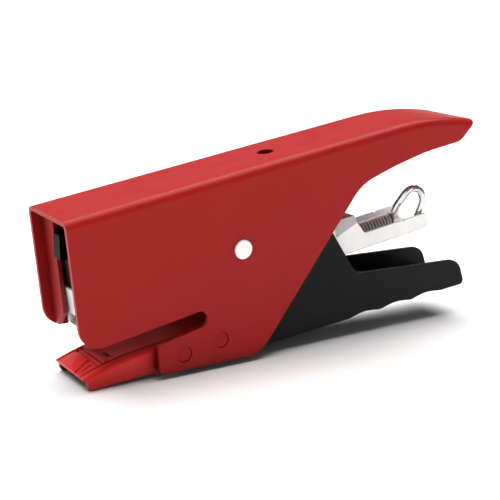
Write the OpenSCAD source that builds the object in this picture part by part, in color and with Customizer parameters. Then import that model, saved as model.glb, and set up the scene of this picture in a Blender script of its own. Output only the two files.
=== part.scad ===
// Plier stapler: a folded steel frame with a riveted anvil, a squeezing lever,
// a staple magazine that swings on the same pivot pin, and a pull-out pusher.
// X runs from the nose to the handles, Y is across, Z is up.

/* [Frame] */
// Width over the two side walls of the frame
frame_w = 27; // [25:0.5:30]
// Thickness of the frame sheet
frame_t = 1.3; // [1:0.1:1.5]
// Outer radius of the folded top edges
bend_r = 2.5; // [2:0.1:3]
// Height of the top face at the nose, over the jaw's datum line
top_z = 49.7; // [48:0.1:52]
// Rise of the top face and of the magazine, in degrees
tilt = 8.3; // [8:0.1:8.6]
// Length of the straight part of the top face
straight_x = 114; // [112:0.5:116]
// Radius of the hump of the upper handle
hump_r = 95; // [90:1:100]
// Diameter of the hanging hole in the top face
hang_d = 5.2; // [4:0.1:6]
// Distance of the hanging hole from the nose
hang_x = 72; // [66:0.5:78]

/* [Pivot] */
// Distance of the pivot pin from the nose
pivot_x = 55.8; // [55:0.1:56.5]
// Height of the pivot pin
pivot_z = 34.7; // [34.2:0.1:35.2]
// Diameter of the pivot pin's shaft
pin_d = 4; // [3.6:0.1:4.2]
// Diameter of the pivot pin's heads
pin_head_d = 5.9; // [5.4:0.1:6.6]
// Height of the pivot pin's heads
pin_head_h = 0.7; // [0.5:0.1:1]
// Radial running clearance on the pin
pin_gap = 0.05; // [0.03:0.01:0.08]

/* [Anvil] */
// Width over the anvil's walls
anvil_w = 20.8; // [20.4:0.1:21]
// Thickness of the anvil sheet
anvil_t = 1.2; // [1:0.1:1.3]
// Height of the anvil plate where its curved front begins
anvil_z = 7.6; // [7.4:0.1:7.8]
// Distance of that place from the nose
anvil_x = 22; // [20:0.5:24]
// Rise of the straight part of the anvil plate, in degrees
anvil_tilt = 8; // [7:0.1:8.4]
// Radius of the anvil's curved front
anvil_r = 75; // [70:1:85]
// How far the anvil's front feet reach below the datum line
foot_drop = 1.1; // [1:0.05:1.3]
// Diameter of the dimples that carry the rivets
dimple_d = 5; // [4.6:0.1:5.4]

/* [Lever] */
// Width over the lever's walls
lever_w = 20.8; // [20.4:0.1:21]
// Thickness of the lever sheet
lever_t = 1.2; // [1:0.1:1.3]
// Distance of the lever's rear end from the nose
lever_end = 145; // [143:0.5:147]
// Depth of the finger scallops
scallop_d = 0.85; // [0.4:0.05:1]
// Number of finger scallops
scallop_n = 3; // [2:1:4]

/* [Magazine] */
// Width over the magazine's walls
mag_w = 16; // [15.8:0.1:16.2]
// Thickness of the magazine sheet
mag_t = 0.8; // [0.7:0.1:0.9]
// Depth of the magazine's floor below the pivot
mag_floor = 15.1; // [14.8:0.1:15.2]
// Distance from the pivot to the magazine's rear end
mag_rear = 73.6; // [72:0.2:75]
// Width of a staple over its legs
staple_w = 12.8; // [12.4:0.1:13]
// Length of a staple leg
staple_leg = 6; // [5.6:0.1:6.1]
// Diameter of the staple wire
staple_t = 0.5; // [0.4:0.1:0.6]
// Diameter of the pusher's wire
wire_d = 2.5; // [2.3:0.1:2.5]
// Outer diameter of the pusher's spring
coil_d = 4.2; // [4:0.1:4.4]

/* [Hidden] */

$fn = 64;
eps = 0.01;
frame_h = frame_w / 2;
frame_in = frame_h - frame_t;
anvil_h = anvil_w / 2;
anvil_in = anvil_h - anvil_t;
lever_h = lever_w / 2;
lever_in = lever_h - lever_t;
mag_h = mag_w / 2;
mag_in = mag_h - mag_t;
pin_r = pin_d / 2;
pin_bore = pin_r + pin_gap;

// Magazine stations along its own axis (u), measured from the pivot
nose_u = -49.6;
rail_u = nose_u + 2;
strip_end_u = -8;
rail_rivet_u = [-38, 18];
block_u = -7.6;
block_end_u = 31;
coil_u = 32.4;
coil_end_u = 64;
cover_u = 37;
cover_end_u = 45.5;
// Heights in the magazine above (+) and below (-) the pivot (w)
floor_w = -mag_floor + mag_t;
wall_w = -5;
low_wall_w = -9.95;
bend_w = -5.6;
bend_rise = 0.32;
crown_w = floor_w + 0.3 + staple_leg;
rod_w = -11.2;
coil_wire = 0.4;
// Rivets between the frame and the anvil
rivets = [[35.8, 5.6], [48.3, 7.7]];
rivet_r = 1.6;
rivet_head_r = 2.35;
// Red paint, black paint, nickel and steel
red = [0.60, 0.19, 0.19];
black = [0.12, 0.12, 0.12];
nickel = [0.88, 0.87, 0.85];
steel = [0.65, 0.66, 0.68];

// ---- Geometry helpers ----

function unit(v) = v / norm(v);

// Points of the arc that rounds corner b, between a and c, to radius r
function corner(a, b, c, r) =
    r <= 0 ? [b] :
    let (
        p = unit(a - b),
        q = unit(c - b),
        half = acos(p * q) / 2,
        mid = b + unit(p + q) * r / sin(half),
        from = b + p * r / tan(half) - mid,
        to = b + q * r / tan(half) - mid,
        start = atan2(from[1], from[0]),
        turn = atan2(from[0] * to[1] - from[1] * to[0], from * to),
        n = max(2, ceil(abs(turn) / 9))
    )
    [for (i = [0:n]) mid + r * [cos(start + turn * i / n), sin(start + turn * i / n)]];

// Outline through points [x, z, radius], with every corner rounded
function rounded(p) =
    let (n = len(p))
    [for (i = [0:n - 1])
        for (q = corner(
            [p[(i + n - 1) % n][0], p[(i + n - 1) % n][1]],
            [p[i][0], p[i][1]],
            [p[(i + 1) % n][0], p[(i + 1) % n][1]],
            p[i][2])) q];

// Moves the whole object so that its middle stands on the origin
module place() translate([-lever_end / 2, 0, foot_drop]) children();

// Extrudes an outline drawn in X and Z between two values of Y
module slab(y0, y1) translate([0, y1, 0]) rotate([90, 0, 0]) linear_extrude(y1 - y0) children();

// The same outline as a near and a far wall
module walls(inner, outer) {
    slab(-outer, -inner) children();
    slab(inner, outer) children();
}

// Extrudes an outline drawn in Y and Z along X
module along_x(l) rotate([90, 0, 90]) linear_extrude(l) children();

// A cylinder along Y
module rod_y(r, y0, y1) translate([0, y1, 0]) rotate([90, 0, 0]) cylinder(r = r, h = y1 - y0);

// The magazine's frame of reference, with its origin on the pivot
module magazine_place() place() translate([pivot_x, 0, pivot_z]) rotate([0, -tilt, 0]) children();

// A closed tube of n sides that follows a list of points and its directions
module sweep_tube(path, r, n) {
    last = len(path) - 1;
    dirs = [for (i = [0:last]) unit(path[min(i + 1, last)] - path[max(i - 1, 0)])];
    rings = [for (i = [0:last])
        let (
            side = unit(cross(dirs[i], abs(dirs[i][1]) < 0.9 ? [0, 1, 0] : [0, 0, 1])),
            up = cross(side, dirs[i])
        )
        for (k = [0:n - 1]) path[i] + r * (cos(360 * k / n) * side + sin(360 * k / n) * up)];
    skin = [for (i = [0:last - 1])
        for (k = [0:n - 1])
            for (h = [0, 1])
                h == 0 ? [i * n + k, i * n + (k + 1) % n, (i + 1) * n + (k + 1) % n]
                : [i * n + k, (i + 1) * n + (k + 1) % n, (i + 1) * n + k]];
    polyhedron(
        points = rings,
        faces = concat([[for (k = [n - 1:-1:0]) k]], skin, [[for (k = [0:n - 1]) last * n + k]]),
        convexity = 10);
}

// A helix about Z, from z = 0 to l, through the middle of the wire
function helix(r, l, turns, steps) =
    [for (i = [0:turns * steps])
        [r * cos(360 * i / steps), r * sin(360 * i / steps), l * i / (turns * steps)]];

// ---- Frame ----

// Side view of the frame: nose, throat slot, lower jaw, diagonal and upper handle
module frame_outline() polygon(rounded([
    [-0.2, 54, 0],
    [0, 49, 0],
    [3.4, 11.3, 6.5],
    [43.9, 18.4, 2.6],
    [43.6, 13.2, 2.4],
    [27.4, 9.75, 1.2],
    [27.4, 0.8, 1.9],
    [62, 0.8, 9],
    [99, 49.4, 15],
    [111, 53.6, 40],
    [124, 57.2, 60],
    [138.5, 59.4, 5],
    [144, 65, 1],
    [144, 74, 0]
]));

// Cross-section of a folded sheet, open below: half width, top face, sheet and bend radius
module channel_section(half, top, sheet, bend, depth) polygon(rounded([
    [-half, top - depth, 0],
    [-half, top, bend],
    [half, top, bend],
    [half, top - depth, 0],
    [half - sheet, top - depth, 0],
    [half - sheet, top - sheet, bend - sheet],
    [-half + sheet, top - sheet, bend - sheet],
    [-half + sheet, top - depth, 0]
]));

// The folded sheet, straight and then curved over the hump, drawn about the place where they meet
module folded_sheet() translate([straight_x, 0, top_z + straight_x * tan(tilt)]) rotate([0, -tilt, 0])
    translate([0, 0, -hump_r]) {
        translate([-straight_x - 12, 0, 0]) along_x(straight_x + 12) frame_section();
        rotate([-90, -90, 0]) rotate_extrude(angle = 22, $fn = 180) rotate(-90) frame_section();
    }
module frame_section() channel_section(frame_h, hump_r, frame_t, bend_r, 70);

module frame_shell() color(red) place() difference() {
    union() {
        intersection() {
            folded_sheet();
            slab(-frame_h - 1, frame_h + 1) frame_outline();
        }
        for (p = rivets) translate([p[0], 0, p[1]]) {
            rod_y(dimple_d / 2 + 0.8, -frame_in - eps, -anvil_h);
            rod_y(dimple_d / 2 + 0.8, anvil_h, frame_in + eps);
        }
    }
    for (p = rivets) translate([p[0], 0, p[1]]) {
        rod_y(dimple_d / 2, -frame_h - 1, -anvil_h - 1.2);
        rod_y(dimple_d / 2, anvil_h + 1.2, frame_h + 1);
        rod_y(rivet_r, -frame_h - 1, frame_h + 1);
    }
    translate([pivot_x, 0, pivot_z]) rod_y(pin_r, -frame_h - 1, frame_h + 1);
    translate([hang_x, 0, top_z + hang_x * tan(tilt)]) rotate([0, -tilt, 0])
        translate([0, 0, -5]) cylinder(d = hang_d, h = 10);
}

// Four rivets: flat heads that fill the dimples, closed inside the anvil
module anvil_rivets() color(red) place() for (p = rivets, s = [0, 1]) mirror([0, s, 0])
    translate([p[0], 0, p[1]]) {
        rod_y(rivet_head_r, anvil_h + 1.2, frame_h - 0.3);
        rod_y(rivet_r, anvil_in - 0.1, anvil_h + 1.3);
        rod_y(rivet_head_r - 0.2, anvil_in - 0.6, anvil_in);
    }

module pivot_pin() color(nickel) place() translate([pivot_x, 0, pivot_z]) {
    rod_y(pin_r, -frame_h - eps, frame_h + eps);
    for (s = [0, 1]) mirror([0, s, 0]) rotate([-90, 0, 0]) rotate_extrude() polygon(rounded([
        [0, frame_h, 0],
        [pin_head_d / 2, frame_h, 0],
        [pin_head_d / 2, frame_h + pin_head_h, 0.35],
        [0, frame_h + pin_head_h, 0]
    ]));
}

module spacer(y0, y1) color(steel) place() translate([pivot_x, 0, pivot_z]) difference() {
    rod_y(4.6, y0, y1);
    rod_y(pin_bore, y0 - 1, y1 + 1);
}
module spacer_near() spacer(-frame_in, -lever_h - 0.1);
module spacer_far() spacer(lever_h + 0.1, frame_in);

// Angle behind the nose opening: its front flange closes the side of the mouth
module nose_guide() color(red) place() difference() {
    union() {
        slab(4.8, frame_in) polygon([[6.3, 13.4], [3.7, 46], [4.9, 46], [7.5, 13.4]]);
        slab(frame_in - 1.1, frame_in) polygon([[7.4, 13.4], [4.8, 46], [12, 46], [14.6, 14.1]]);
    }
    translate([0, 4.8, 13.4]) rotate([45, 0, 0]) cube([40, 7, 7], center = true);
}
module nose_guide_far() nose_guide();
module nose_guide_near() mirror([0, 1, 0]) nose_guide();

// ---- Anvil ----

module anvil_outline() polygon(rounded([
    [4.9, 12, 0],
    [4.9, 2.2, 0.3],
    [5.9, 1.5, 0.8],
    [6.1, -1.4, 1.7],
    [9, -1.05, 4],
    [13, -0.5, 12],
    [20, 0, 20],
    [32, 1, 0],
    [52.4, 2.4, 3],
    [51, 16, 0]
]));

// Folded section of the anvil, with a groove on each side of its plate
module anvil_section() difference() {
    channel_section(anvil_h, anvil_r, anvil_t, 1.8, 26);
    for (s = [-1, 1]) translate([s * (anvil_h - 2.3), anvil_r + 0.15]) rotate(45) square(1, center = true);
}

// Height of the anvil plate over its curved front
function plate_z(x) = anvil_z - anvil_r * cos(anvil_tilt)
    + sqrt(pow(anvil_r, 2) - pow(x - anvil_x - anvil_r * sin(anvil_tilt), 2));

// A groove of radius r in the plate, from point a to point b in X and Y
module plate_groove(a, b, r) {
    run = norm(b - a);
    rise = plate_z(b[0]) - plate_z(a[0]);
    translate([a[0], a[1], plate_z(a[0]) + 0.4 * r]) rotate([0, 0, atan2(b[1] - a[1], b[0] - a[0])])
        rotate([0, 90 - atan2(rise, run), 0]) cylinder(r = r, h = norm([run, rise]), $fn = 24);
}

module folded_anvil() translate([anvil_x, 0, anvil_z]) rotate([0, -anvil_tilt, 0])
    translate([0, 0, -anvil_r]) {
        along_x(31) anvil_section();
        mirror([1, 0, 0]) rotate([-90, -90, 0]) rotate_extrude(angle = 16, $fn = 180)
            rotate(-90) anvil_section();
    }

module anvil() color(red) place() difference() {
    union() {
        intersection() {
            folded_anvil();
            slab(-anvil_h - 1, anvil_h + 1) anvil_outline();
        }
        // Ridge across the plate, behind the two grooves
        translate([13.2, 0, plate_z(13.2) - 0.2]) rod_y(0.6, -7.6, 7.6);
    }
    plate_groove([10.8, -7.5], [10.8, 7.5], 0.65);
    plate_groove([12.2, -7.5], [12.2, 7.5], 0.6);
    plate_groove([4.6, -4.6], [10.2, -1.9], 0.7);
    plate_groove([6.1, -6.4], [9.7, -5], 0.5);
    // Two curved halves of the pocket that turn the staple's legs inwards
    for (s = [-1, 1]) translate([14.4, s * 3.3, plate_z(15.1) + 4.5]) rotate([0, 90, 0])
        cylinder(r = 5.1, h = 1.4);
    for (p = rivets) translate([p[0], 0, p[1]]) rod_y(rivet_r, -anvil_h - 1, anvil_h + 1);
}

// ---- Lever ----

scallop_x = 97.3;
scallop_l = 12.7;
function lever_line(x) = 1.9 + 0.094 * (x - 65.3);
function scallop_z(x) = lever_line(x)
    + scallop_d * pow((1 - cos(360 * (x - scallop_x) / scallop_l)) / 2, 0.65);

// Finger scallops along the underside, raised by up
function scallops(up) = [for (i = [0:scallop_n * 12])
    let (x = scallop_x + i * scallop_l / 12)
    [x, scallop_z(x) + up, 0]];

module lever_outline() polygon(rounded(concat([
    [8.6, 44.5, 2],
    [7.9, 35.6, 1],
    [44, 32.2, 6],
    [53.5, 13, 8],
    [60.5, 1.45, 2]
], scallops(0), [
    [lever_end + 0.5, 9.4, 1.6],
    [142.5, 18.3, 5.5],
    [99.8, 19.7, 6],
    [83, 46.2, 5]
])));

// The space between the lever's walls, above its floor
module lever_hollow() polygon(concat([
    [40, 60],
    [40, 2],
    [60.5, 1.45 + lever_t]
], [for (p = scallops(lever_t)) [p[0], p[1]]], [
    [150, 9.9 + lever_t],
    [150, 60]
]));

module lever_shell() color(black) place() difference() {
    slab(-lever_h, lever_h) lever_outline();
    slab(-lever_in, lever_in) lever_hollow();
    // The front is open below and between the walls, under a flat bridge
    slab(-lever_in, lever_in) polygon([[0, 30], [0, 43.3], [41, 43.3], [41, 30]]);
    translate([pivot_x, 0, pivot_z]) rod_y(pin_bore, -lever_h - 1, lever_h + 1);
    translate([15, 0, 39.6]) rod_y(1.5, -lever_h - 1, lever_h + 1);
}

// Block between the lever walls, behind the mouth: its tongue presses on the driver
module hammer_block() color(black) place() difference() {
    union() {
        // Narrow tongue that reaches forward over the driver blade
        slab(-2.1, 2.1) polygon(rounded([
            [2.7, 43.8, 0.6],
            [2.7, 36.2, 0.5],
            [12, 35.6, 0],
            [12, 43, 0],
            [8, 43, 0],
            [7.4, 43.8, 0.3]
        ]));
        slab(-lever_in, lever_in) polygon(rounded([
            [11, 43.3, 0],
            [11, 35.6, 1],
            [19, 35.6, 1],
            [19, 43.3, 0]
        ]));
    }
    translate([15, 0, 39.6]) rod_y(1.5, -lever_h, lever_h);
}

module hammer_pin() color(steel) place() translate([15, 0, 39.6]) rod_y(1.5, -lever_h - 0.3, lever_h + 0.3);

// ---- Magazine ----

module channel_outline() polygon(rounded([
    [nose_u + mag_t, wall_w, 0],
    [nose_u + mag_t, 0.7 - mag_floor, 0],
    [rail_u + 1, -mag_floor, 0],
    [mag_rear, -mag_floor, 1],
    [mag_rear, low_wall_w, 1],
    [48, low_wall_w, 1.2],
    [cover_end_u, bend_w, 0],
    [cover_u, bend_w - bend_rise * (cover_end_u - cover_u), 0],
    [cover_u - 0.5, wall_w, 0],
    [5.5, wall_w, 1],
    [4.6, 4.6, 4],
    [-4.6, 4.6, 4],
    [-5.5, wall_w, 1]
]));

module magazine_channel() color(nickel) magazine_place() difference() {
    union() {
        walls(mag_in, mag_h) channel_outline();
        translate([rail_u, -mag_in - eps, -mag_floor])
            cube([mag_rear - rail_u - 0.6, 2 * mag_in + 2 * eps, mag_t]);
    }
    rod_y(pin_bore, -mag_h - 1, mag_h + 1);
    // Notches in the wall tops at the rear
    translate([63.6, 0, low_wall_w + 0.1]) rod_y(0.6, -mag_h - 1, mag_h + 1);
    // Rounded lower edges
    for (s = [-1, 1]) translate([rail_u - 2, s * mag_h, -mag_floor]) rotate([45, 0, 0])
        translate([0, -0.35, -0.35]) cube([mag_rear - rail_u + 4, 0.7, 0.7]);
    // Holes of the rail's rivets
    for (u = rail_rivet_u) translate([u, 0, -mag_floor - 1]) cylinder(r = 1, h = 3);
}

// Front plate with the window above the staple's way out
module magazine_nose_plate() color(nickel) magazine_place() difference() {
    translate([nose_u, -mag_h, -14.4]) cube([mag_t, mag_w, 12.9]);
    translate([nose_u - 1, -6.2, -12.9]) cube([3, 12.4, 3.3]);
}

// Raised roof over the pusher: its flanks lean in more and more towards the front
module roof(thin, drop) hull() {
    translate([cover_u - drop, 0, 0]) along_x(eps) polygon([
        [-mag_h + thin, -8.3 - drop], [mag_h - thin, -8.3 - drop],
        [5.4 - thin, -3.7 - thin], [-5.4 + thin, -3.7 - thin]
    ]);
    translate([cover_end_u - eps + drop, 0, 0]) along_x(eps) polygon([
        [-mag_h + thin, bend_w - drop], [mag_h - thin, bend_w - drop],
        [6.9 - thin, -3.5 - thin], [-6.9 + thin, -3.5 - thin]
    ]);
}

module magazine_cover() color(nickel) magazine_place() difference() {
    roof(0, 0);
    roof(mag_t, 0.6);
}

// Flat lid over the staples, between the walls
module magazine_top_plate() color(nickel) magazine_place()
    translate([rail_u, -mag_in, wall_w - mag_t]) cube([cover_u - 0.5 - rail_u, 2 * mag_in, mag_t]);

module staple_rail() color(steel) magazine_place() difference() {
    translate([rail_u, -5.5, floor_w]) cube([22 - rail_u, 11, crown_w - staple_t - 0.2 - floor_w]);
    translate([rail_u - 1, -4.7, floor_w - 1]) cube([90, 9.4, crown_w - staple_t - 1 - floor_w + 1]);
}

module rail_rivets() color(steel) magazine_place() for (u = rail_rivet_u) translate([u, 0, 0]) {
    translate([0, 0, -mag_floor - 0.35]) cylinder(r = 1.7, h = 0.35);
    translate([0, 0, -mag_floor - 0.1]) cylinder(r = 1, h = mag_t + 0.1);
    translate([0, 0, floor_w]) cylinder(r = 1.5, h = 0.5);
}

module staple_strip() color(steel) magazine_place() difference() {
    translate([rail_u, -staple_w / 2, crown_w - staple_leg])
        cube([strip_end_u - rail_u, staple_w, staple_leg]);
    translate([rail_u - 1, -staple_w / 2 + staple_t, crown_w - staple_leg - 1])
        cube([60, staple_w - 2 * staple_t, staple_leg + 1 - staple_t]);
}

// Coil between the lid of the magazine and the bridge of the lever
spring_x = 30;
spring_z0 = 26.8;
spring_z1 = 43;
spring_r = 3.4;
spring_wire = 0.45;
module return_spring() color(steel) place() translate([spring_x, 0, spring_z0 + spring_wire])
    sweep_tube(helix(spring_r - spring_wire, spring_z1 - spring_z0 - 2 * spring_wire, 8, 16), spring_wire, 6);

module driver_blade() color(steel) magazine_place() translate([nose_u + 1.1, 0, 0]) along_x(0.6) polygon([
    [-6.3, -7.7], [-4.5, -7.4], [4.5, -7.4], [6.3, -7.7], [6.3, 5], [4, 7.2], [-4, 7.2], [-6.3, 5]
]);

// ---- Pusher ----

module pusher_block() color(steel) magazine_place() difference() {
    translate([block_u, 0, 0]) along_x(block_end_u + 1 - block_u) polygon([
        [-6.8, floor_w + 0.3], [-6.8, -8.7], [-5.8, -7], [5.8, -7], [6.8, -8.7], [6.8, floor_w + 0.3]
    ]);
    translate([block_u - 1, -5.75, floor_w - 1]) cube([block_end_u + 1 - block_u, 11.5, -8.35 - floor_w + 1]);
    translate([0, 0, rod_w]) rotate([0, 90, 0]) cylinder(r = wire_d / 2 + 0.05, h = 60);
}

// Wire with an upset front end, running through the spring to a loop for the finger
loop_dir = [cos(35), -sin(35), 0];
loop_u = 65.5;
loop_points = [
    [0.2, -9.6], [1.56, -7.3], [3.1, -5.3], [4.5, -3.6], [5.95, -2.3], [7.6, -1.85], [9.15, -2.5],
    [10.05, -4.05], [10.15, -6.1], [9.4, -8.4], [8.4, -10.6], [7.9, -12.2]
];
module pusher_rod() color(nickel) magazine_place() {
    sweep_tube(concat(
        [for (u = [25, 45, 64.6]) [u, 0, rod_w]],
        [[65.1, 0, rod_w + 0.2], [65.45, 0, rod_w + 0.8]],
        [for (p = smooth(loop_points, 3)) [loop_u, 0, 0] + p[0] * loop_dir + [0, 0, p[1]]]
    ), wire_d / 2, 12);
    translate([24, 0, rod_w]) rotate([0, 90, 0]) cylinder(r = 1.6, h = 1.5);
}

// Extra points on a smooth curve through p
function smooth(p, n) = [for (i = [0:len(p) - 2])
    for (k = [0:n - 1])
        let (
            t = k / n,
            a = p[max(i - 1, 0)],
            b = p[i],
            c = p[i + 1],
            d = p[min(i + 2, len(p) - 1)]
        )
        0.5 * (2 * b + (c - a) * t + (2 * a - 5 * b + 4 * c - d) * t * t
            + (3 * b - 3 * c + d - a) * t * t * t),
    p[len(p) - 1]];

module pusher_spring() color(nickel) magazine_place() translate([coil_u + coil_wire, 0, rod_w])
    rotate([0, 90, 0])
        sweep_tube(helix(coil_d / 2 - coil_wire, coil_end_u - coil_u - 2 * coil_wire, 26, 12), coil_wire, 6);

module spring_washer() color(steel) magazine_place() translate([coil_end_u, 0, rod_w])
    rotate([0, 90, 0]) difference() {
        cylinder(r = coil_d / 2, h = 0.5);
        translate([0, 0, -1]) cylinder(r = wire_d / 2 + 0.02, h = 3);
    }

frame_shell();
anvil();
anvil_rivets();
pivot_pin();
spacer_near();
spacer_far();
nose_guide_near();
nose_guide_far();
lever_shell();
hammer_block();
hammer_pin();
magazine_channel();
magazine_nose_plate();
magazine_cover();
magazine_top_plate();
staple_rail();
rail_rivets();
staple_strip();
return_spring();
driver_blade();
pusher_block();
pusher_rod();
pusher_spring();
spring_washer();
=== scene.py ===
import math

import bmesh
import bpy
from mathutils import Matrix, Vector


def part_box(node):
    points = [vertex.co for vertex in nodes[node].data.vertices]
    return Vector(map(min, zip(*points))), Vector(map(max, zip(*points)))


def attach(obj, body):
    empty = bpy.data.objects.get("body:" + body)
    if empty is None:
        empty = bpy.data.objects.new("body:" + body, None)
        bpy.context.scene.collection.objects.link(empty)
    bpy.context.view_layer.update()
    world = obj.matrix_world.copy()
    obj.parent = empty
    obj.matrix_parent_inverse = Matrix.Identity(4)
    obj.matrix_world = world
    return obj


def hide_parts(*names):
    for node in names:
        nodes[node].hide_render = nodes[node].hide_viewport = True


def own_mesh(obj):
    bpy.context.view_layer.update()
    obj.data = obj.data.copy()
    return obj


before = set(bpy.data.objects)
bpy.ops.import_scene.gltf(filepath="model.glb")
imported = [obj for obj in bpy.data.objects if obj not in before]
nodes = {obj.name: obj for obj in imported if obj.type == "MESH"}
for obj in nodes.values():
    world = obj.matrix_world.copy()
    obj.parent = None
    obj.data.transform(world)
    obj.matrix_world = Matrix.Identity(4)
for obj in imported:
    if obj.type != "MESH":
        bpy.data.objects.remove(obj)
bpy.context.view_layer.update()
MM = 0.001

# ---------------------------------------------------------------- the stapler's own measures

SHIFT = 0.0725  # metres from the nose to the origin
LIFT = 0.0011  # metres that part.scad's foot_drop raises the drawing by
TILT = math.radians(8.3)  # the magazine rises rearwards at rest
PIVOT = Vector((55.8 * MM - SHIFT, 0, 34.7 * MM + LIFT))
U = Vector((math.cos(TILT), 0, math.sin(TILT)))
W = Vector((-math.sin(TILT), 0, math.cos(TILT)))
Y = Vector((0, 1, 0))


def mag(u, y, w):
    """A point of the magazine: u mm rearwards and w mm up from the pivot pin, y mm across."""
    return PIVOT + u * MM * U + y * MM * Y + w * MM * W


# ---------------------------------------------------------------- material building

def shader(name, color, rough, metallic=0.0, coat=0.0, coat_rough=0.1, specular=0.5):
    m = bpy.data.materials.new(name)
    m.use_nodes = True
    t = m.node_tree
    b = t.nodes["Principled BSDF"]
    b.inputs["Base Color"].default_value = (*color, 1)
    b.inputs["Roughness"].default_value = rough
    b.inputs["Metallic"].default_value = metallic
    b.inputs["Coat Weight"].default_value = coat
    b.inputs["Coat Roughness"].default_value = coat_rough
    b.inputs["Specular IOR Level"].default_value = specular
    c = t.nodes.new("ShaderNodeTexCoord")
    return m, t, b, c.outputs["Object"]


def node(t, kind, **values):
    n = t.nodes.new(kind)
    for key, value in values.items():
        n.inputs[key].default_value = value
    return n


def noise(t, coords, scale, detail=3.0, rough=0.55, stretch=(1, 1, 1), turn=(0, 0, 0)):
    p = node(t, "ShaderNodeMapping", Scale=stretch, Rotation=turn)
    t.links.new(coords, p.inputs["Vector"])
    n = node(t, "ShaderNodeTexNoise", Scale=scale, Detail=detail, Roughness=rough)
    t.links.new(p.outputs["Vector"], n.inputs["Vector"])
    return n.outputs["Fac"]


def ramp(t, fac, stops):
    r = t.nodes.new("ShaderNodeValToRGB")
    e = r.color_ramp.elements
    while len(e) < len(stops):
        e.new(0.5)
    for el, (pos, col) in zip(e, stops):
        el.position = pos
        el.color = (*col, 1)
    t.links.new(fac, r.inputs["Fac"])
    return r.outputs["Color"]


def span(t, fac, low, high, from_low=0.0, from_high=1.0):
    """Maps from_low..from_high to low..high, held at both ends."""
    r = node(t, "ShaderNodeMapRange",
             **{"From Min": from_low, "From Max": from_high, "To Min": low, "To Max": high})
    t.links.new(fac, r.inputs["Value"])
    return r.outputs["Result"]


def bump(t, b, layers):
    """Chains bump layers of (height output, strength, distance in metres)."""
    normal = None
    for height, strength, distance in layers:
        n = node(t, "ShaderNodeBump", Strength=strength, Distance=distance)
        t.links.new(height, n.inputs["Height"])
        if normal is not None:
            t.links.new(normal, n.inputs["Normal"])
        normal = n.outputs["Normal"]
    t.links.new(normal, b.inputs["Normal"])


def shade(color, k):
    return tuple(min(1.0, c * k) for c in color)


def paint_corner_shade(t, color, distance, low):
    """Multiplies a colour down to low in grooves, slots and folds: painted shade, from an occlusion
    measure.
    """
    ao = t.nodes.new("ShaderNodeAmbientOcclusion")
    ao.samples = 16
    ao.inputs["Distance"].default_value = distance
    k = span(t, ao.outputs["AO"], low, 1.0, 0.15, 0.85)
    mix = t.nodes.new("ShaderNodeVectorMath")
    mix.operation = "SCALE"
    t.links.new(color, mix.inputs[0])
    t.links.new(k, mix.inputs["Scale"])
    return mix.outputs["Vector"]


# Roughness keeps out of the range round 0.27: noise that crosses it leaves dark specks in a render

def paint(name, color, rough, vary, coat, specular, corner_shade_low):
    """Stove enamel: slow colour drift, orange peel, uneven gloss, painted shade in folds."""
    m, t, b, xyz = shader(name, color, rough, coat=coat, coat_rough=0.16, specular=specular)
    slow = noise(t, xyz, 55, 2.0)
    drift = ramp(t, slow,
                 [(0.25, shade(color, 1 - vary)), (0.5, color), (0.75, shade(color, 1 + vary))])
    # The base colour gets painted shade in folds and slots
    t.links.new(paint_corner_shade(t, drift, 0.010, corner_shade_low), b.inputs["Base Color"])
    peel = noise(t, xyz, 620, 2.0, 0.4)
    dust = noise(t, xyz, 4200, 3.0, 0.6)
    gloss = span(t, noise(t, xyz, 190, 4.0), rough - 0.05, rough + 0.07, 0.3, 0.7)
    t.links.new(gloss, b.inputs["Roughness"])
    bump(t, b, [(peel, 0.06, 0.00012), (dust, 0.02, 0.00002)])
    return m


def metal(name, color, rough, stretch, scale=260, vary=0.10, depth=0.10, turn=(0, 0, 0),
          metallic=1.0, corner_shade_low=0.5):
    """Sheet or wire with drawing lines along one direction, faint stains and painted shade in
    folds.
    """
    m, t, b, xyz = shader(name, color, rough, metallic=metallic)
    lines = noise(t, xyz, scale, 3.0, 0.6, stretch, turn)
    stains = noise(t, xyz, 70, 3.0)
    drift = ramp(t, stains,
                 [(0.28, shade(color, 1 - vary)), (0.52, color), (0.8, shade(color, 1 + vary / 2))])
    # The base colour gets painted shade in folds and slots
    t.links.new(paint_corner_shade(t, drift, 0.003, corner_shade_low), b.inputs["Base Color"])
    t.links.new(span(t, lines, rough - 0.07, rough + 0.10, 0.3, 0.7), b.inputs["Roughness"])
    bump(t, b, [(lines, depth, 0.00005), (noise(t, xyz, 900, 2.0), 0.05, 0.00005)])
    return m


# ---------------------------------------------------------------- materials

RED = (0.375, 0.012, 0.011)
ALONG = (1.5, 14, 14)  # drawing lines along the sheet
LEAN = (0, TILT, 0)

red = paint("red_enamel", RED, rough=0.36, vary=0.03, coat=0.02, specular=0.11, corner_shade_low=0.12)
# The frame's red at twice the brightness: painted light on the anvil, which lies in the frame's
# shade
red_lit_anvil = paint("red_enamel_painted_light", shade(RED, 2.0),
                  rough=0.35, vary=0.04, coat=0.06, specular=0.20, corner_shade_low=0.05)
# The frame's red darkened to 0.8: painted shade on the nose guides inside the frame
red_shaded = paint("red_enamel_shaded_copy", shade(RED, 0.80),
               rough=0.5, vary=0.08, coat=0.04, specular=0.25, corner_shade_low=0.15)
black = paint("black_enamel", (0.0056, 0.0056, 0.0059),
              rough=0.36, vary=0.15, coat=0.0, specular=0.11, corner_shade_low=0.3)
# The black made darker still: painted shade on the hammer block inside the nose
black_shaded = paint("black_enamel_shaded_copy", (0.003, 0.002, 0.002),
                 rough=0.5, vary=0.15, coat=0.0, specular=0.08, corner_shade_low=0.3)
nickel = metal("nickel_sheet", (0.97, 0.958, 0.935), 0.36, ALONG,
               metallic=0.20, turn=LEAN, corner_shade_low=0.72)
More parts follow.
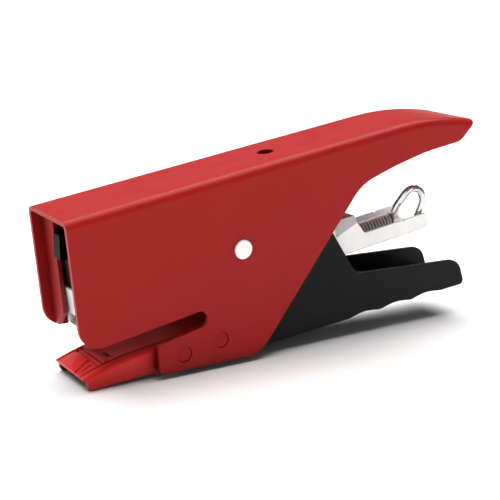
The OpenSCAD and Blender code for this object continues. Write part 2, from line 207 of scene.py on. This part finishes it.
# The nickel made paler and almost free of painted corner shade: painted light on the magazine's
# cover, which lies in the frame's shade
nickel_lit_copy = metal("nickel_lit_copy", (0.99, 0.97, 0.98), 0.40, ALONG,
                   metallic=0.05, turn=LEAN, corner_shade_low=0.95)
nickel_wire = metal("nickel_wire", (0.66, 0.66, 0.665), 0.10, (3, 10, 3),
                    vary=0.30, metallic=0.86, corner_shade_low=0.35)
coil_wire = metal("coil_wire", (0.86, 0.86, 0.86), 0.16, (5, 5, 5), metallic=0.30, corner_shade_low=0.80)
pin_metal = metal("pin_nickel", (0.93, 0.90, 0.90), 0.36, (6, 6, 6),
                  scale=340, vary=0.05, depth=0.06, metallic=0.35, corner_shade_low=0.3)
steel = metal("steel_sheet", (0.50, 0.50, 0.51), 0.38, ALONG)
spring_steel = metal("spring_steel", (0.46, 0.46, 0.47), 0.38, (4, 4, 4), scale=420)
blued = metal("blued_steel", (0.075, 0.035, 0.032), 0.40, (14, 14, 1.5), scale=240, metallic=0.5)
staple_wire = metal("staple_wire", (0.62, 0.62, 0.63), 0.38, (4, 1, 4), scale=500)

# The strip of staples shows a dark glue line about every millimetre
t = staple_wire.node_tree
b = t.nodes["Principled BSDF"]
wave = node(t, "ShaderNodeTexWave", Scale=2000 / (2 * math.pi), Distortion=0.15)
wave.bands_direction = "X"
lean = node(t, "ShaderNodeMapping", Rotation=LEAN)
t.links.new(t.nodes["Texture Coordinate"].outputs["Object"], lean.inputs["Vector"])
t.links.new(lean.outputs["Vector"], wave.inputs["Vector"])
glue = ramp(t, wave.outputs["Fac"],
            [(0.0, (0.20, 0.20, 0.21)), (0.3, (0.60, 0.60, 0.61)), (1.0, (0.68, 0.68, 0.69))])
t.links.new(glue, b.inputs["Base Color"])

finish = {
    "frame_shell": red, "anvil": red_lit_anvil, "anvil_rivets": red,
    "nose_guide_near": red_shaded, "nose_guide_far": red_shaded,
    "pivot_pin": pin_metal, "spacer_near": steel, "spacer_far": steel,
    "lever_shell": black, "hammer_block": black_shaded, "hammer_pin": steel,
    "magazine_channel": nickel, "magazine_nose_plate": nickel, "magazine_cover": nickel_lit_copy,
    "magazine_top_plate": nickel, "staple_rail": steel, "rail_rivets": steel,
    "staple_strip": staple_wire, "return_spring": spring_steel, "driver_blade": blued,
    "pusher_block": steel, "pusher_rod": nickel_wire, "pusher_spring": coil_wire,
    "spring_washer": steel,
}
for name, o in nodes.items():
    m = finish[name]
    if not o.material_slots:
        o.data.materials.append(m)
    for s in o.material_slots:
        s.material = m


# ---------------------------------------------------------------- new pieces

def mesh_object(name, bm, material, body):
    me = bpy.data.meshes.new(name)
    bmesh.ops.recalc_face_normals(bm, faces=bm.faces)
    bm.to_mesh(me)
    bm.free()
    for p in me.polygons:
        p.use_smooth = True
    o = bpy.data.objects.new(name, me)
    bpy.context.scene.collection.objects.link(o)
    me.materials.append(material)
    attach(o, body)
    return o


def ring_point(centre, r, side, up, angle):
    return centre + r * (math.cos(angle) * side + math.sin(angle) * up)


def tube(bm, path, r, sides):
    """A closed round tube along path, carried along without twist."""
    n = len(path)
    rings = []
    prev = None
    for i, p in enumerate(path):
        d = (path[min(i + 1, n - 1)] - path[max(i - 1, 0)]).normalized()
        if prev is None:
            ref = Vector((0, 0, 1)) if abs(d.z) < 0.8 else Vector((1, 0, 0))
            side = d.cross(ref).normalized()
        else:
            side = (prev - d * prev.dot(d)).normalized()
        prev = side
        up = d.cross(side)
        rings.append([bm.verts.new(ring_point(p, r, side, up, 2 * math.pi * k / sides))
                      for k in range(sides)])
    for a, b in zip(rings, rings[1:]):
        for k in range(sides):
            bm.faces.new((a[k], a[(k + 1) % sides], b[(k + 1) % sides], b[k]))
    bm.faces.new(rings[0][::-1])
    bm.faces.new(rings[-1])


def coil_path(origin, axis, side, length, r, turns, wire, steps=28):
    """The centre line of a compression spring whose last turn at each end is closed up.

    length is from the first to the last centre, r the coil's radius, wire the wire's thickness.
    """
    other = axis.cross(side)
    rise = []
    z = 0.0
    free = length - 2 * wire
    for i in range(turns * steps + 1):
        turn = i / steps
        rise.append(z)
        end = turn < 1 or turn > turns - 1
        z += (wire if end else free / (turns - 2)) / steps
    k = length / rise[-1]
    return [ring_point(origin + axis * (h * k), r, side, other, 2 * math.pi * i / steps)
            for i, h in enumerate(rise)]


# The feed spring round the pusher's rod
FEED_WIRE_R = 0.0004
bm = bmesh.new()
tube(bm, coil_path(mag(32.8, 0, -11.2), U, Y, length=0.0308, r=0.00172, turns=26,
                   wire=2 * FEED_WIRE_R), FEED_WIRE_R, sides=8)
coil = mesh_object("feed_spring_wire", bm, coil_wire, "pusher")
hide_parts("pusher_spring")

# The return spring between the magazine and the lever's bridge
RETURN_WIRE_R = 0.00045
lo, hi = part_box("return_spring")
centre = (lo + hi) / 2
foot = Vector((centre.x, centre.y, lo.z + RETURN_WIRE_R))
bm = bmesh.new()
tube(bm, coil_path(foot, Vector((0, 0, 1)), Vector((1, 0, 0)),
                   length=hi.z - lo.z - 2 * RETURN_WIRE_R, r=0.00295, turns=8,
                   wire=2 * RETURN_WIRE_R), RETURN_WIRE_R, sides=10)
coil = mesh_object("return_spring_wire", bm, spring_steel, "magazine")
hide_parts("return_spring")
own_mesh(coil)

# ---------------------------------------------------------------- stage, lights and camera

FLOOR_SIZE = 60
FLOOR_Z = -0.0001  # just under the part's lowest point

floor_mat, t, b, xyz = shader("studio_floor", (0.93, 0.93, 0.93), 0.9, specular=0.1)
pale = ramp(t, noise(t, xyz, 3, 2.0), [(0.3, (0.92, 0.92, 0.92)), (0.7, (0.94, 0.94, 0.94))])
t.links.new(pale, b.inputs["Base Color"])
bpy.ops.mesh.primitive_plane_add(size=FLOOR_SIZE, location=(0, 0, FLOOR_Z))
floor = bpy.context.object
floor.name = "studio_floor"
floor.data.materials.append(floor_mat)


def aim(o, spot, target):
    bpy.context.scene.collection.objects.link(o)
    o.location = spot
    o.rotation_euler = (Vector(target) - Vector(spot)).to_track_quat("-Z", "Y").to_euler()


def sun(name, spot, strength, angle):
    light = bpy.data.lights.new(name, "SUN")
    light.energy = strength
    light.angle = math.radians(angle)
    aim(bpy.data.objects.new(name, light), spot, (0, 0, 0))


def area(name, spot, target, size, power):
    light = bpy.data.lights.new(name, "AREA")
    light.shape = "DISK"
    light.size = size
    light.energy = power
    aim(bpy.data.objects.new(name, light), spot, target)


MIDDLE = (0, 0, 0.04)
sun("ceiling", (0.03, 0.31, 1), strength=5.1, angle=76)
area("front", (-1.1, -0.25, 0.35), MIDDLE, size=0.35, power=0.6)
area("rear", (0.9, 0.2, 1.2), MIDDLE, size=0.5, power=0.8)

# The sky is bright at the horizon, where the floor ends, and dim above it
HORIZON, SKY = 1.0, 0.11
world = bpy.data.worlds.new("studio")
bpy.context.scene.world = world
world.use_nodes = True
t = world.node_tree
sky = t.nodes["Background"]
sky.inputs["Color"].default_value = (1, 1, 1, 1)
apart = t.nodes.new("ShaderNodeSeparateXYZ")
t.links.new(t.nodes.new("ShaderNodeTexCoord").outputs["Generated"], apart.inputs["Vector"])
t.links.new(span(t, apart.outputs["Z"], HORIZON, SKY, 0.06, 0.14), sky.inputs["Strength"])

# The camera, solved from points measured in the photo
FOCAL_PX, IMAGE_PX, SENSOR_MM = 1219, 500, 36
ELEVATION, AZIMUTH = 15.20, -31.56
cam = bpy.data.cameras.new("camera")
cam.sensor_width = SENSOR_MM
cam.lens = FOCAL_PX / IMAGE_PX * SENSOR_MM
cam.clip_start = 0.01
cam_o = bpy.data.objects.new("camera", cam)
bpy.context.scene.collection.objects.link(cam_o)
cam_o.location = (-0.1243 - SHIFT, -0.3107, 0.1289 + LIFT)
cam_o.rotation_euler = (math.radians(90 - ELEVATION), 0, math.radians(AZIMUTH))
bpy.context.scene.camera = cam_o
bpy.context.scene.view_settings.view_transform = "Standard"
